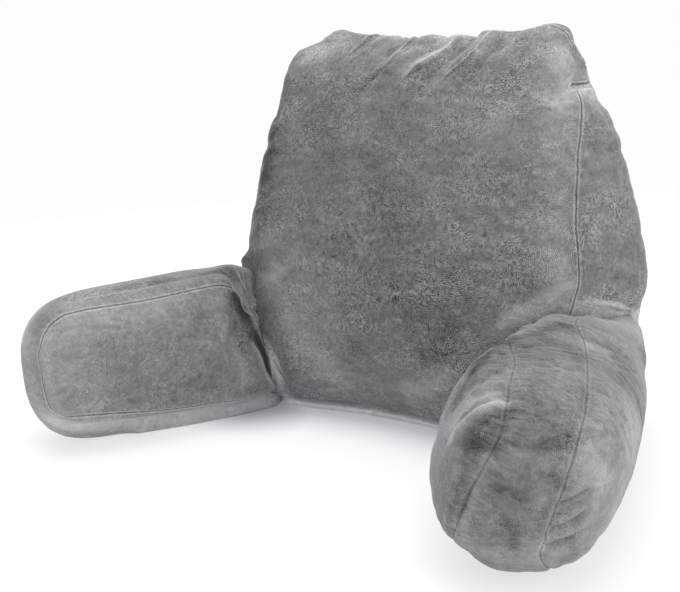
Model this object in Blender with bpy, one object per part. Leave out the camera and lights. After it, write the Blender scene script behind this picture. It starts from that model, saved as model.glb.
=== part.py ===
"""A reading pillow with arms, cut and sewn from plush and filled.

An upright back cushion with a boxed edge stands between two boxed arms, which reach forward from its lower
corners, splay outwards and lean with their tops apart. Metres, +Z up, the front faces -Y, and the underside
rests on Z = 0. The origin is on the floor, under the middle of the back cushion.
"""

from collections import namedtuple
from math import acos, atan2, cos, pi, radians, sin, tan

import bmesh
import bpy
import numpy as np
from mathutils import Vector, noise
from mathutils.bvhtree import BVHTree

NAME = "reading_pillow_with_arms"
UP = np.array([0.0, 0.0, 1.0])
SEAT_GROWTH = 0.0005     # the arms are cut to the back cushion grown by this, so that a gap parts them

# ---- the back cushion: a front and a rear panel joined by a boxing strip ----
FRONT_TOP = 0.438        # height of the front panel's top seam at its middle ...
REAR_TOP = 0.449         # ... and of the rear panel's; the filling lifts the strip between them
EAR_LEFT = 0.022         # how much higher the left shoulder stands ...
EAR_RIGHT = 0.020        # ... and the right one
SEAM_FOOT = 0.008        # height of the lower seams above the floor
FRONT_FOOT_Y = -0.102    # the front panel leans back from here ...
FRONT_TOP_Y = 0.031      # ... to here
REAR_FOOT_Y = 0.107
REAR_TOP_Y = 0.077
REAR_SKEW = -0.010       # the rear panel's top stands this far to the side of the front one's
BASE_HOLLOW = 0.039      # how far the front panel's lower edge is drawn in at its middle
FRONT_CROWN = 0.053
REAR_CROWN = 0.034
BACK_BULGE = 0.012       # how far the boxing strip swells out
FOOT_SAG = 0.012         # how much more it swells where the filling presses on the floor
BACK_FULLNESS = 2.2      # power of a crown's curve: higher is flatter in the middle
ARM_FULLNESS = 2.0
SHOULDER = 4.0           # how soon the shoulders' lift dies away below them: higher is sooner
ROUNDING = 3.0           # how soon a panel's level lines turn from its outline to an ellipse
EDGE_HOLD = 4.0          # how close to its seam a panel follows the seam's own curve out of its plane

Corner = namedtuple("Corner", "across up radius")
FRONT_OUTLINE = [        # half of the front panel, from the foot up
    Corner(0.200, SEAM_FOOT, 0.050),
    Corner(0.252, 0.200, 0.400),
    Corner(0.212, FRONT_TOP, 0.036),
]
REAR_OUTLINE = [
    Corner(0.260, SEAM_FOOT, 0.050),
    Corner(0.258, 0.200, 0.400),
    Corner(0.182, REAR_TOP, 0.040),
]

# ---- the arms: an inner and an outer panel joined by a boxing strip ----
# Along an arm, zero is near the foot of its join with the back cushion.
INNER_HALF_ROOT = 0.032  # from the arm's middle line to its inner seam, at the back cushion ...
INNER_HALF_END = 0.044   # ... and at the arm's end
OUTER_HALF_ROOT = 0.058  # the outer seam swings out round the back cushion's flank
OUTER_HALF_END = 0.044
END_HEIGHT = 0.170       # of the upper seams at the arm's end
END_FOOT = 0.028         # the lower seams rise towards the end
END_RADIUS_TOP = 0.061
END_RADIUS_FOOT = 0.051
ROOT_RADIUS = 0.022
BACK_OF_ARM_RADIUS = 0.200  # where the outer panel's top edge bends down along the flank
INNER_ROOT_FOOT = -0.020 # along the arm: the inner panel's lower corner, inside the back cushion ...
INNER_ROOT_TOP = 0.055   # ... and its upper corner, where it leaves the front panel
OUTER_ROOT = -0.170      # along the arm: the outer panel reaches back along the flank
FLANK_FROM = -0.160      # along the arm: from here the middle line turns from the flank's heading ...
FLANK_TO = 0.045         # ... to the arm's own, reached here
FLANK_HEADING = 8        # degrees

# Metres and degrees. heading is from straight ahead, and turn is what the length adds to it; height is that of
# the upper seams where the arm leaves the back cushion, and flank_height that of the outer panel beside it.
Arm = namedtuple("Arm", "side root_x root_y length heading turn lean flank_lean "
                        "height flank_height inner_crown outer_crown bulge")
ARMS = {
    "arm_left": Arm(-1, 0.188, -0.078, 0.306, 22, 6, 12, 4, 0.182, 0.147, 0.046, 0.050, 0.009),
    "arm_right": Arm(1, 0.198, -0.083, 0.366, 22, 8, 15, 8, 0.174, 0.165, 0.050, 0.063, 0.006),
}

# ---- sewing and filling ----
SEAM_DEPTH = 0.002       # how far a seam is drawn into the filling
JOIN_DEPTH = 0.008       # how far both forms are drawn in where an arm is sewn to the back
JOIN_WIDTH = 0.020
FLOOR_EASE = 0.005       # how softly the filling rounds into its flat underside
SWELL = 0.003            # slow, irregular swell of the filling
SWELL_SIZE = 0.14

# Folds: start and end on a view of the cushion, how far the line bows sideways, its half width and its depth.
# A depth below zero is a ridge. The views are front, rear, top, left and right; an arm is seen in its own
# frame, straightened, with x along it from the root, y from its inner to its outer side, and z up.
Fold = namedtuple("Fold", "view start end bow width depth")
BACK_FOLDS = [
    # gathers that run from the top seam down to the left
    Fold("front", (-0.080, 0.460), (-0.140, 0.425), 0.000, 0.012, -0.004),
    Fold("front", (-0.050, 0.450), (-0.110, 0.390), 0.000, 0.014, 0.006),
    Fold("front", (0.000, 0.455), (-0.060, 0.410), 0.003, 0.012, -0.005),
    Fold("front", (0.040, 0.460), (-0.035, 0.395), 0.004, 0.012, -0.007),
    Fold("front", (0.060, 0.455), (-0.010, 0.390), 0.004, 0.012, 0.006),
    Fold("front", (0.085, 0.465), (0.030, 0.395), 0.004, 0.012, -0.007),
    Fold("front", (0.108, 0.460), (0.050, 0.390), 0.004, 0.012, 0.005),
    # the tuck under the right shoulder, and the puckers that it sends over the front panel
    Fold("right", (0.050, 0.404), (0.005, 0.412), 0.000, 0.012, 0.010),
    Fold("front", (0.218, 0.406), (0.165, 0.392), 0.000, 0.012, 0.004),
    # the flank's crease above each arm
    Fold("right", (0.100, 0.125), (-0.025, 0.170), 0.005, 0.014, 0.007),
    Fold("left", (0.095, 0.140), (-0.020, 0.175), 0.005, 0.014, 0.006),
    # the front panel's foot is pulled towards the left arm
    Fold("front", (-0.150, 0.020), (-0.165, 0.095), 0.000, 0.012, -0.005),
    # the rear panel's pull from its lower corners
    Fold("rear", (0.225, 0.040), (0.120, 0.130), 0.010, 0.020, 0.004),
    Fold("rear", (-0.220, 0.050), (-0.130, 0.110), 0.010, 0.020, 0.004),
]
ARM_FOLDS = {
    "arm_left": [
        # the inner panel is pinched in beside the back cushion, with a ridge along the join
        Fold("front", (0.055, 0.150), (0.022, 0.025), 0.004, 0.013, 0.010),
        Fold("front", (0.034, 0.150), (0.014, 0.030), 0.000, 0.012, -0.006),
    ],
    "arm_right": [
        # gathers off the inner seam, over the inner panel
        Fold("front", (0.245, 0.165), (0.225, 0.100), 0.010, 0.012, 0.004),
        Fold("front", (0.290, 0.165), (0.275, 0.100), 0.010, 0.012, 0.004),
        # slanting folds where the outer panel rounds the arm's end
        Fold("right", (0.026, 0.063), (0.064, 0.080), 0.000, 0.012, 0.004),
        Fold("right", (0.030, 0.090), (0.060, 0.112), 0.000, 0.012, 0.004),
    ],
}

# ---- mesh density ----
BACK_AROUND = 84
BACK_RINGS = 9
BACK_STRIP = 6
ARM_AROUND = 64
ARM_RINGS = 7
ARM_STRIP = 6

VIEWS = {                # direction of sight, and the two axes that a fold's start and end are given on
    "front": (Vector((0, 1, 0)), (0, 2)),
    "rear": (Vector((0, -1, 0)), (0, 2)),
    "top": (Vector((0, 0, -1)), (0, 1)),
    "left": (Vector((1, 0, 0)), (1, 2)),
    "right": (Vector((-1, 0, 0)), (1, 2)),
}
FAR = 1.0                # from here a view looks at the cushion
FOLD_STEPS = 16
FOLD_ONSET = 0.12        # share of a fold's length over which it reaches its depth ...
FOLD_START = 0.35        # ... from this share of it ...
FOLD_TAIL = 0.6          # ... and how late it dies away: lower is later
FOLD_REACH = 1.4         # half widths within which the mesh is made finer
FOLD_GRAIN = 1.1         # longest edge there, in half widths
ARC_STEPS = 12
RUN_STEPS = 400          # points along an arm's middle line, which runs on past both its ends by RUN_SPARE
RUN_SPARE = 0.05


def spaced(line, count):
    """count points evenly along a closed line."""
    line = np.vstack([line, line[:1]])
    run = np.concatenate([[0.0], np.cumsum(np.linalg.norm(np.diff(line, axis=0), axis=1))])
    at = np.linspace(0.0, run[-1], count, endpoint=False)
    return np.stack([np.interp(at, run, line[:, axis]) for axis in range(line.shape[1])], axis=1)


def rounded_outline(corners, count):
    """A closed outline of count points, with an arc at each corner."""
    places = [np.array([corner.across, corner.up]) for corner in corners]
    line = []
    for i, corner in enumerate(corners):
        here = places[i]
        back = places[i - 1] - here
        onward = places[(i + 1) % len(places)] - here
        back /= np.linalg.norm(back)
        onward /= np.linalg.norm(onward)
        half_angle = acos(np.clip(back @ onward, -1, 1)) / 2
        middle = back + onward
        centre = here + middle / np.linalg.norm(middle) * corner.radius / sin(half_angle)
        first = here + back * corner.radius / tan(half_angle) - centre
        last = here + onward * corner.radius / tan(half_angle) - centre
        begin = atan2(first[1], first[0])
        swing = (atan2(last[1], last[0]) - begin + pi) % (2 * pi) - pi
        for turn in np.linspace(begin, begin + swing, ARC_STEPS + 1):
            line.append(centre + corner.radius * np.array([cos(turn), sin(turn)]))
    return spaced(np.array(line), count)


def back_outline(half):
    """A whole panel of the back from its right half, given from the foot up, with raised shoulders."""
    left = [Corner(-corner.across, corner.up, corner.radius) for corner in reversed(half)]
    flat = rounded_outline(half + left, BACK_AROUND)
    out = flat[:, 0] / half[-1].across
    ear = np.where(out > 0, EAR_RIGHT, EAR_LEFT)
    flat[:, 1] += ear * np.clip(out ** 2, 0, 1) * np.clip(flat[:, 1] / half[-1].up, 0, 1) ** SHOULDER
    return flat


def panel_rings(seam, normal, crown, fullness, count):
    """Rings of a crowned panel, from near its middle out to its seam."""
    side = np.cross(normal, UP)
    side /= np.linalg.norm(side)
    rise = np.cross(side, normal)
    middle = seam.mean(axis=0)
    across, up, high = (seam - middle) @ side, (seam - middle) @ rise, (seam - middle) @ normal
    width, height = (across.max() - across.min()) / 2, (up.max() - up.min()) / 2
    middle = middle + side * (across.max() - width) + rise * (up.max() - height)
    across, up = across - across.max() + width, up - up.max() + height
    angle = np.arctan2(up / height, across / width)
    rings = []
    for reach in np.sin(np.linspace(0, pi / 2, count + 1))[1:]:
        k = reach ** ROUNDING
        flat_across = reach * (across * k + width * np.cos(angle) * (1 - k))
        flat_up = reach * (up * k + height * np.sin(angle) * (1 - k))
        lift = high * reach ** EDGE_HOLD + crown * (1 - reach ** fullness) ** (1 / fullness)
        rings.append(middle + np.outer(flat_across, side) + np.outer(flat_up, rise) + np.outer(lift, normal))
    return rings


def strip_rings(front, rear, axis, bulge, count):
    """Rings of the boxing strip between two seams, swelling out, and more so where it lies on the floor."""
    rings = []
    for t in np.linspace(0, 1, count + 1)[1:-1]:
        ring = front * (1 - t) + rear * t
        along = np.roll(ring, -1, axis=0) - np.roll(ring, 1, axis=0)
        outward = np.cross(along, axis)
        outward /= np.linalg.norm(outward, axis=1)[:, None]
        outward *= np.sign(np.sum(outward * (ring - ring.mean(axis=0)), axis=1).mean())
        swelling = bulge + FOOT_SAG * np.clip(-outward[:, 2:3], 0, 1) ** 2
        rings.append(ring + outward * swelling * sin(pi * t))
    return rings


def loft(front, strip, rear):
    """A closed mesh over two panels and the strip between them, with the two seams drawn in."""
    mesh = bmesh.new()
    rows = [[mesh.verts.new(point) for point in ring] for ring in front + strip + rear[::-1]]
    for row, following in zip(rows, rows[1:]):
        for i, vert in enumerate(row):
            after = (i + 1) % len(row)
            mesh.faces.new((vert, following[i], following[after], row[after]))
    ends = [mesh.faces.new(rows[0]), mesh.faces.new(reversed(rows[-1]))]
    bmesh.ops.poke(mesh, faces=ends)
    mesh.normal_update()
    for vert in rows[len(front) - 1] + rows[len(front) + len(strip)]:
        vert.co -= vert.normal * SEAM_DEPTH
    return mesh


def fold_line(fold, tree):
    """Points along a fold, laid on the cushion from the side it is seen from."""
    sight, axes = VIEWS[fold.view]
    start, end = np.array(fold.start), np.array(fold.end)
    across = np.array([start[1] - end[1], end[0] - start[0]])
    across /= np.linalg.norm(across)
    line = []
    for t in np.linspace(0, 1, FOLD_STEPS):
        flat = start * (1 - t) + end * t + across * fold.bow * sin(pi * t)
        eye = -FAR * sight
        for axis, value in zip(axes, flat):
            eye[axis] = value
        hit = tree.ray_cast(eye, sight)[0]
        if hit:
            line.append(hit)
    return np.array(line)


def nearest(points, line):
    """How far points are from a line, and how far along it they are, from 0 to 1."""
    start, step = line[:-1], line[1:] - line[:-1]
    t = np.sum((points[:, None] - start) * step, axis=2) / np.sum(step * step, axis=1)
    t = np.clip(t, 0, 1)
    apart = np.linalg.norm(points[:, None] - start - t[:, :, None] * step, axis=2)
    best = apart.argmin(axis=1)
    rows = np.arange(len(points))
    return apart[rows, best], (best + t[rows, best]) / len(step)


def refine(mesh, line, width):
    """Splits the edges beside a line until they are fine enough to carry a fold of this half width."""
    while True:
        edges = [edge for edge in mesh.edges if edge.calc_length() > FOLD_GRAIN * width]
        if not edges:
            return
        middles = np.array([(edge.verts[0].co + edge.verts[1].co) / 2 for edge in edges])
        apart = nearest(middles, line)[0]
        beside = [edge for edge, away in zip(edges, apart) if away < FOLD_REACH * width]
        if not beside:
            return
        bmesh.ops.subdivide_edges(mesh, edges=beside, cuts=1)
        bmesh.ops.triangulate(mesh, faces=[face for face in mesh.faces if len(face.verts) > 4])


def press_folds(mesh, folds):
    """Presses each fold into the cushion along its surface's normals, deepest near the fold's start."""
    tree = BVHTree.FromBMesh(mesh)
    lines = [fold_line(fold, tree) for fold in folds]
    for fold, line in zip(folds, lines):
        refine(mesh, line, fold.width)
    mesh.normal_update()
    verts = list(mesh.verts)
    points = np.array([vert.co for vert in verts])
    depths = np.zeros(len(verts))
    for fold, line in zip(folds, lines):
        apart, t = nearest(points, line)
        fade = np.clip(t / FOLD_ONSET, FOLD_START, 1) * (1 - t) ** FOLD_TAIL
        depths += fold.depth * fade * np.exp(-(apart / fold.width) ** 2)
    for vert, depth in zip(verts, depths):
        vert.co -= vert.normal * depth
    mesh.normal_update()


def swell(mesh, shift):
    """Lets the filling stand a little uneven."""
    mesh.normal_update()
    for vert in mesh.verts:
        vert.co += vert.normal * SWELL * noise.noise(vert.co / SWELL_SIZE + Vector((shift, 0, 0)))


def back_form():
    """The back cushion: front and rear panels lean together towards the top."""
    def lean(flat, foot_y, top_y, hollow, skew):
        t = flat[:, 1] / FRONT_TOP
        across, up = flat[:, 0] + skew * t ** 2, flat[:, 1]
        middle = np.clip(1 - (across / FRONT_OUTLINE[0].across) ** 2, 0, 1)
        y = foot_y + (top_y - foot_y) * t + hollow * middle * np.clip(1 - t, 0, 1) ** 2
        return np.stack([across, y, up], axis=1)

    front = lean(back_outline(FRONT_OUTLINE), FRONT_FOOT_Y, FRONT_TOP_Y, BASE_HOLLOW, 0.0)
    rear = lean(back_outline(REAR_OUTLINE), REAR_FOOT_Y, REAR_TOP_Y, 0.0, REAR_SKEW)
    slope = atan2(FRONT_TOP_Y - FRONT_FOOT_Y, FRONT_TOP)
    front_normal = np.array([0.0, -cos(slope), sin(slope)])
    rear_normal = np.array([0.0, 1.0, 0.0])
    front_rings = panel_rings(front, front_normal, FRONT_CROWN, BACK_FULLNESS, BACK_RINGS)
    strip = strip_rings(front, rear, rear_normal - front_normal, BACK_BULGE, BACK_STRIP)
    rear_rings = panel_rings(rear, rear_normal, REAR_CROWN, BACK_FULLNESS, BACK_RINGS)
    mesh = loft(front_rings, strip, rear_rings)
    press_folds(mesh, BACK_FOLDS)
    swell(mesh, 0)
    return mesh


def blend(first, last, value, low, high):
    """first below low, last above high, and a smooth change between."""
    t = np.clip((value - low) / (high - low), 0, 1)
    return first + (last - first) * t * t * (3 - 2 * t)


def arm_form(name):
    """An arm, first made straight: x along it, y from its inner to its outer side, z up."""
    arm = ARMS[name]
    end_foot = Corner(arm.length, END_FOOT, END_RADIUS_FOOT)
    end_top = Corner(arm.length, END_HEIGHT, END_RADIUS_TOP)
    inner_flat = rounded_outline([Corner(INNER_ROOT_FOOT, SEAM_FOOT, ROOT_RADIUS), end_foot, end_top,
                                  Corner(INNER_ROOT_TOP, arm.height, ROOT_RADIUS)], ARM_AROUND)
    outer_flat = rounded_outline([Corner(OUTER_ROOT, SEAM_FOOT, ROOT_RADIUS), end_foot, end_top,
                                  Corner(INNER_ROOT_TOP, arm.height, BACK_OF_ARM_RADIUS),
                                  Corner(OUTER_ROOT, arm.flank_height, ROOT_RADIUS)], ARM_AROUND)

    def stand(flat, half):
        return np.stack([flat[:, 0], half, flat[:, 1]], axis=1)

    inner = stand(inner_flat, -blend(INNER_HALF_ROOT, INNER_HALF_END, inner_flat[:, 0], 0, arm.length))
    outer = stand(outer_flat, blend(OUTER_HALF_ROOT, OUTER_HALF_END, outer_flat[:, 0], FLANK_FROM, FLANK_TO))
    y_axis = np.array([0.0, 1.0, 0.0])
    inner_rings = panel_rings(inner, -y_axis, arm.inner_crown, ARM_FULLNESS, ARM_RINGS)
    strip = strip_rings(inner, outer, y_axis, arm.bulge, ARM_STRIP)
    outer_rings = panel_rings(outer, y_axis, arm.outer_crown, ARM_FULLNESS, ARM_RINGS)
    mesh = loft(inner_rings, strip, outer_rings)
    press_folds(mesh, ARM_FOLDS[name])
    swell(mesh, 3 * arm.side)
    bend_arm(mesh, arm)
    return mesh


def bend_arm(mesh, arm):
    """Curves a straight arm along its middle line on the floor, leans it and puts it on its side."""
    runs = np.linspace(OUTER_ROOT - RUN_SPARE, arm.length + RUN_SPARE, RUN_STEPS)
    headings = np.radians(blend(FLANK_HEADING, arm.heading, runs, FLANK_FROM, FLANK_TO)
                          + blend(0, arm.turn, runs, FLANK_TO, arm.length))
    step = runs[1] - runs[0]
    line_x = np.cumsum(np.sin(headings)) * step
    line_y = np.cumsum(-np.cos(headings)) * step
    line_x += arm.root_x - np.interp(0, runs, line_x)
    line_y += arm.root_y - np.interp(0, runs, line_y)
    for vert in mesh.verts:
        along, across, up = vert.co
        heading = np.interp(along, runs, headings)
        lean = radians(blend(arm.flank_lean, arm.lean, along, FLANK_FROM, FLANK_TO))
        outward = np.array([cos(heading), sin(heading), 0.0])
        rise = cos(lean) * UP + sin(lean) * outward
        thick = cos(lean) * outward - sin(lean) * UP
        foot = np.array([np.interp(along, runs, line_x), np.interp(along, runs, line_y), 0.0])
        place = foot + up * rise + across * thick
        vert.co = (arm.side * place[0], place[1], place[2])
    if arm.side < 0:
        bmesh.ops.reverse_faces(mesh, faces=mesh.faces)
    mesh.normal_update()


def draw_in(mesh, other_tree):
    """Draws a form in where its surface meets the other's."""
    mesh.normal_update()
    for vert in mesh.verts:
        apart = other_tree.find_nearest(vert.co)[3]
        vert.co -= vert.normal * JOIN_DEPTH * np.exp(-(apart / JOIN_WIDTH) ** 2)


def settle(mesh):
    """Presses what lies lower than the floor flat on it, with an eased edge."""
    for vert in mesh.verts:
        z = vert.co.z
        if z <= -FLOOR_EASE:
            vert.co.z = 0.0
        elif z < FLOOR_EASE:
            vert.co.z = (z + FLOOR_EASE) ** 2 / (4 * FLOOR_EASE)


def plush(name, colour, roughness):
    """Short-pile cloth."""
    material = bpy.data.materials.new(name)
    material.use_nodes = True
    shader = material.node_tree.nodes["Principled BSDF"]
    shader.inputs["Base Color"].default_value = (*colour, 1.0)
    shader.inputs["Roughness"].default_value = roughness
    shader.inputs["Metallic"].default_value = 0.0
    return material


def add_object(name, mesh, collection, material=None):
    """Puts a built form into the scene, shaded smooth."""
    data = bpy.data.meshes.new(name)
    mesh.to_mesh(data)
    mesh.free()
    data.shade_smooth()
    thing = bpy.data.objects.new(name, data)
    collection.objects.link(thing)
    if material:
        data.materials.append(material)
    return thing


def add_collection(name):
    collection = bpy.data.collections.new(name)
    bpy.context.scene.collection.children.link(collection)
    return collection


def build():
    for thing in list(bpy.data.objects):
        bpy.data.objects.remove(thing, do_unlink=True)
    parts = add_collection(NAME)
    cutters = add_collection("cutters")

    back = back_form()
    arms = {name: arm_form(name) for name in ARMS}
    back_tree = BVHTree.FromBMesh(back)
    arm_trees = [BVHTree.FromBMesh(mesh) for mesh in arms.values()]
    for tree in arm_trees:
        draw_in(back, tree)
    for mesh in arms.values():
        draw_in(mesh, back_tree)
    for mesh in (back, *arms.values()):
        settle(mesh)
        bmesh.ops.triangulate(mesh, faces=mesh.faces)
        mesh.normal_update()

    seat = back.copy()
    for vert in seat.verts:
        vert.co += vert.normal * SEAT_GROWTH
    cutter = add_object("seat_of_the_arms", seat, cutters)
    cutter.hide_render = True
    cutter.display_type = "WIRE"

    add_object("back_cushion", back, parts, plush("plush_back", (0.17, 0.17, 0.17), 0.85))
    for name, mesh in arms.items():
        arm = add_object(name, mesh, parts, plush("plush_" + name, (0.20, 0.20, 0.20), 0.85))
        cut = arm.modifiers.new("fit to the back", "BOOLEAN")
        cut.operation = "DIFFERENCE"
        cut.object = cutter


build()
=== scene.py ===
"""A reading pillow with arms, dressed in grey crushed plush.

Each packed cushion is copied and filled by a cloth simulation. Its seams, the gathers sewn into them, its creases,
its brushed nap and light and shade painted into its colour are then laid on the filled form. Metres, +Z up, and the
front faces -Y.
"""

from collections import namedtuple
from math import cos, pi, radians, sin

import bmesh
import bpy
import numpy as np
from mathutils import Matrix, Vector
from mathutils.bvhtree import BVHTree
from mathutils.kdtree import KDTree


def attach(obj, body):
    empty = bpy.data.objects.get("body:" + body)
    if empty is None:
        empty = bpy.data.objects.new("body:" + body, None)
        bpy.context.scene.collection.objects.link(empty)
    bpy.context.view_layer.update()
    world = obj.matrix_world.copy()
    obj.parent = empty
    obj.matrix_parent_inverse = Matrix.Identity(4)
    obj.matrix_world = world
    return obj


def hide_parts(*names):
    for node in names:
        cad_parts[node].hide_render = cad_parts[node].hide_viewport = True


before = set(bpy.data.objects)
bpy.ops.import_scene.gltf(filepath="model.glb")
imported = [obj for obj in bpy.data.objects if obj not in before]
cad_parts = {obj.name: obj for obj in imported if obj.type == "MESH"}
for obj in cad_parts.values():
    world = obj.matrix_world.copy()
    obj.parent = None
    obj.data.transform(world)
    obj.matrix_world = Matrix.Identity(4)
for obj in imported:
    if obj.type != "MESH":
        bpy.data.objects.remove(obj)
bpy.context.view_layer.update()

# ---- the picture and its camera ----
PICTURE_WIDTH = 680
PICTURE_HEIGHT = 592
FOCAL_PIXELS = 1348.3
SENSOR_WIDTH = 36.0
CAMERA_AZIMUTH = radians(38.26)
CAMERA_ELEVATION = radians(13.02)
CAMERA_ROLL = radians(-2.73)
CAMERA_DISTANCE = 1.559
CAMERA_TARGET = Vector((-0.0053, -0.1552, 0.1793))
SEARCHED = np.arange(1.0, 2.4, 0.01)  # distances from the camera at which a sight line that misses is compared

# ---- the filled forms ----
# A cushion: its CAD node, the size of its mesh, how many rounds soften its facets, how far it is plumped up, how much
# tighter its cloth is along its seams, how far the cloth may move a point, how full it is from 0, slack, to 1, tight,
# and how strong its crushed grain is.
Cushion = namedtuple("Cushion", "node voxel soften plump gather cap fill grain")
CUSHIONS = {
    "plush_back": Cushion("back_cushion", 0.0059, 5, 0.0015, 0.005, 0.004, 0.85, 0.76),
    "plush_arm_left": Cushion("arm_left", 0.0037, 8, 0.002, 0.02, 0.003, 0.9, 0.50),
    "plush_arm_right": Cushion("arm_right", 0.0040, 8, 0.001, 0.02, 0.003, 0.9, 0.35),
}
BACK, LEFT, RIGHT = CUSHIONS
WELD = 0.00005
FORM_ROUNDS = 12         # what softening takes from the form is evened in this many rounds and given back ...
FORM_RETURNS = 2         # ... this many times, so that only facets are lost
SLIMMED = 0.0015         # the pads start this much slimmer, because they swell
SEAM_REACH = 0.010       # the cloth this near a seam is held by its stitches
HELD_HEIGHT = 0.012      # below this the filling is pressed flat and doesn't move
CLOTH = {                # the cover, and the pressure of its filling
    "quality": 4, "mass": 0.25, "tension_stiffness": 12, "compression_stiffness": 12, "shear_stiffness": 6,
    "bending_stiffness": 0.3, "use_pressure": True, "uniform_pressure_force": 4.0,
}
PANEL_SHRINK = -0.02     # away from its seams the cover is a little loose
CLOTH_FRAMES = 20
WRINKLE_ROUNDS = 60      # of the cloth's moves, only what this many rounds of evening take away is kept
TINY = 1e-9              # keeps a divisor from being 0

# ---- sewing ----
LINE_STEP = 0.002        # spacing of the points of a seam or crease
CURVE_STEPS = 24         # points between two places of a line before they are spaced evenly
SEAM_FAR = 0.040         # how far from a seam its gathers can reach
GROOVE_WIDTH = 0.0030    # half width of a seam's groove
GROOVE_DEPTH = 0.0014
CREST_RISE = 1.6 * GROOVE_DEPTH  # height of a fold's crest as wide as that groove
CREST_FADE = 0.012       # a fold's crest fades over this at each end
PUCKER_DEPTH = 0.0005    # the small waves beside a seam
PUCKER_REACH = 0.010
PUCKER_LENGTH = 0.012
PUCKER_WANDER = 0.6      # the waves shift to and fro by this part of their length ...
PUCKER_CYCLE = 5         # ... over this many of them
FALL = 1.5               # how fast a crease, stroke or push falls off with the square of its distance in half widths
CREASE_REACH = 2.5       # a crease, a stroke and a push end at this many half widths
STROKE_REACH = 2
PUSH_REACH = 2
FADE = 0.25              # the part of a crease's length in which it rises at each end
STEEP = 0.4              # how much narrower a leaning crease or stroke is on its steep side
FINE_CREASE = 0.012      # a crease narrower than this also gets painted light and shade in the tone
CREST_PAINTED_LIGHT_AND_SHADE = 55.0        # how much painted light the tone gets on a ridge, and painted shade in a fold, per metre of height ...
CREST_WIDTH = 0.6        # ... over this part of the crease's width
LEE_PAINTED_SHADE = 75.0          # how much painted shade darkens a ridge's steep side ...
LEE_PLACE = 0.8          # ... this far from the ridge, in its half widths ...
LEE_WIDTH = 0.5          # ... and over this much to each side

# ---- the plush ----
Noise = namedtuple("Noise", "scale detail roughness distortion")
PLUSH_GREY = 0.175
PLUSH_BLUE = 1.01                         # its blue against its red and green
ORIENTATION = 5                           # the grain texture's direction in space; a flat one has the same name
PATCHES = Noise(11.0, 4.0, 0.6, 1.2)      # where the nap is brushed one way or the other
BLOTCHES = Noise(38.0, 5.0, 0.65, 1.2)
FLECKS = Noise(220.0, 2.0, 0.6, 1.0)
UNEVEN = Noise(70.0, 2.0, 0.5, 0.5)       # how strongly a seam or crest shows from place to place
STREAKS = Noise(1.0, 2.0, 0.6, 0.3)       # the nap between two gathers
BRUSH_TURN = (0.0, -0.6, 0.0)             # patches and blotches lie aslant and are longer than wide
BRUSH_STRETCH = (0.6, 1.0, 1.5)
LAY_NOISE = {"Scale": 16.0, "Detail": 1.0}  # the crushed grain's direction wanders
LAY_SPREAD = (6.0, 6.0, 6.0)
LAY_MEAN = (-2.2, -3.0, -2.6)
CRUSH = {"Scale": 170.0, "Frequency": 3.3, "Anisotropy": 0.5}
CRUSH_FLECKS = 0.5
CRUSH_RISE = (0.34, 0.66)                 # sharpens the crushed grain
CRUSHED_RISE = (0.44, 0.58)               # where the patches and blotches are crushed more
PATCH_SHARE = 0.6
BLOTCH_SHARE = 0.4
RUN_SCALE = 300.0                         # streaks are fine along a seam and long across it
BESIDE_SCALE = 25.0
GATHER_FADE = (0.004, 0.034)              # each rise and fade is between two distances from a seam or crest
STITCH_FADE = (0.0003, 0.0015)
RIM_RISE = (0.0010, 0.0020)               # a seam's rim, with a painted highlight for the light it catches
RIM_FADE = (0.0022, 0.0044)
CREST_DROP = (0.0003, 0.0017)
LEE_RISE = (0.0008, 0.0022)
LEE_FADE = (0.0030, 0.0100)
OFF_LINE = 0.0022                         # the signed distance also passes 0 halfway between two seams, where
                                          # the plain one, less this, tells that no seam is near
STITCH_LEAST = 0.5                        # what a stitch line or crest shows where UNEVEN is 0
RIM_LEAST = 0.4
PATCH_TONE = 0.7
BLOTCH_TONE = 1.2
FLECK_TONE = 0.6
CRUSH_TONE = 0.5
STREAK_TONE = 1.2
NAP_AND_PAINTED_LIGHT_TONE = 0.7                            # how much of the tone of strokes and fine creases, brushed nap and painted light and shade, shows, and how much more in light blotches
NAP_AND_PAINTED_LIGHT_BLOTCHY = 0.6
DARKEST = 0.15                            # the tone doesn't go below this
LEE_DARK = 0.15                           # the painted shade to the right of a fold's crest
# painted highlights on a seam's rim and on a fold's crest
RIM_LIGHT = 2.6
CREST_LIGHT = 1.1
BUMP = {"Strength": 0.6, "Distance": 0.0010}
FLECK_HEIGHT = 0.6
BLOTCH_HEIGHT = 0.8
STITCH_HEIGHT = 1.5
STREAK_HEIGHT = 3.0
SURFACE = {"Roughness": 0.85, "Specular IOR Level": 0.15, "Sheen Weight": 0.3, "Sheen Roughness": 0.35,
           "Sheen Tint": (0.82, 0.82, 0.84, 1.0)}

# ---- the studio ----
WHITE = (0.98, 0.98, 0.98, 1.0)
SURROUND_STRENGTH = 0.6
DOME_RADIUS = 25
FLOOR_RADIUS = 24
FLOOR_FADE = (0.9, 2.0)  # the floor turns an even white over these distances
FLOOR_SURFACE = {"Base Color": (0.29, 0.29, 0.29, 1.0), "Roughness": 0.6, "Specular IOR Level": 0.1}
OPEN_BOUNCE = (0.665, 0.665, 0.675)  # the floor's glow, standing in for the surround's light, on the open floor ...
HOLLOW_PAINTED_SHADOW = (0.16, 0.17, 0.20)   # ... and, darker, as a painted shadow in the hollow before the belly, between the arms
HOLLOW_FRONT = 0.05      # how far the hollow reaches forward at its middle ...
HOLLOW_CURVE = 1.2       # ... and how that reach grows to its sides
HOLLOW_EDGE = (-0.06, 0.12)
HOLLOW_SIDE = (0.17, 0.25)
HOLLOW_REAR = (0.02, 0.08)
HOLLOW_CORNER = (-0.18, -0.10, 0.0)  # where a painted shadow darkens the floor at the left arm's root
CORNER_FADE = (0.01, 0.13)
LIGHTS_AIM = (0, -0.1, 0.2)
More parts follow.
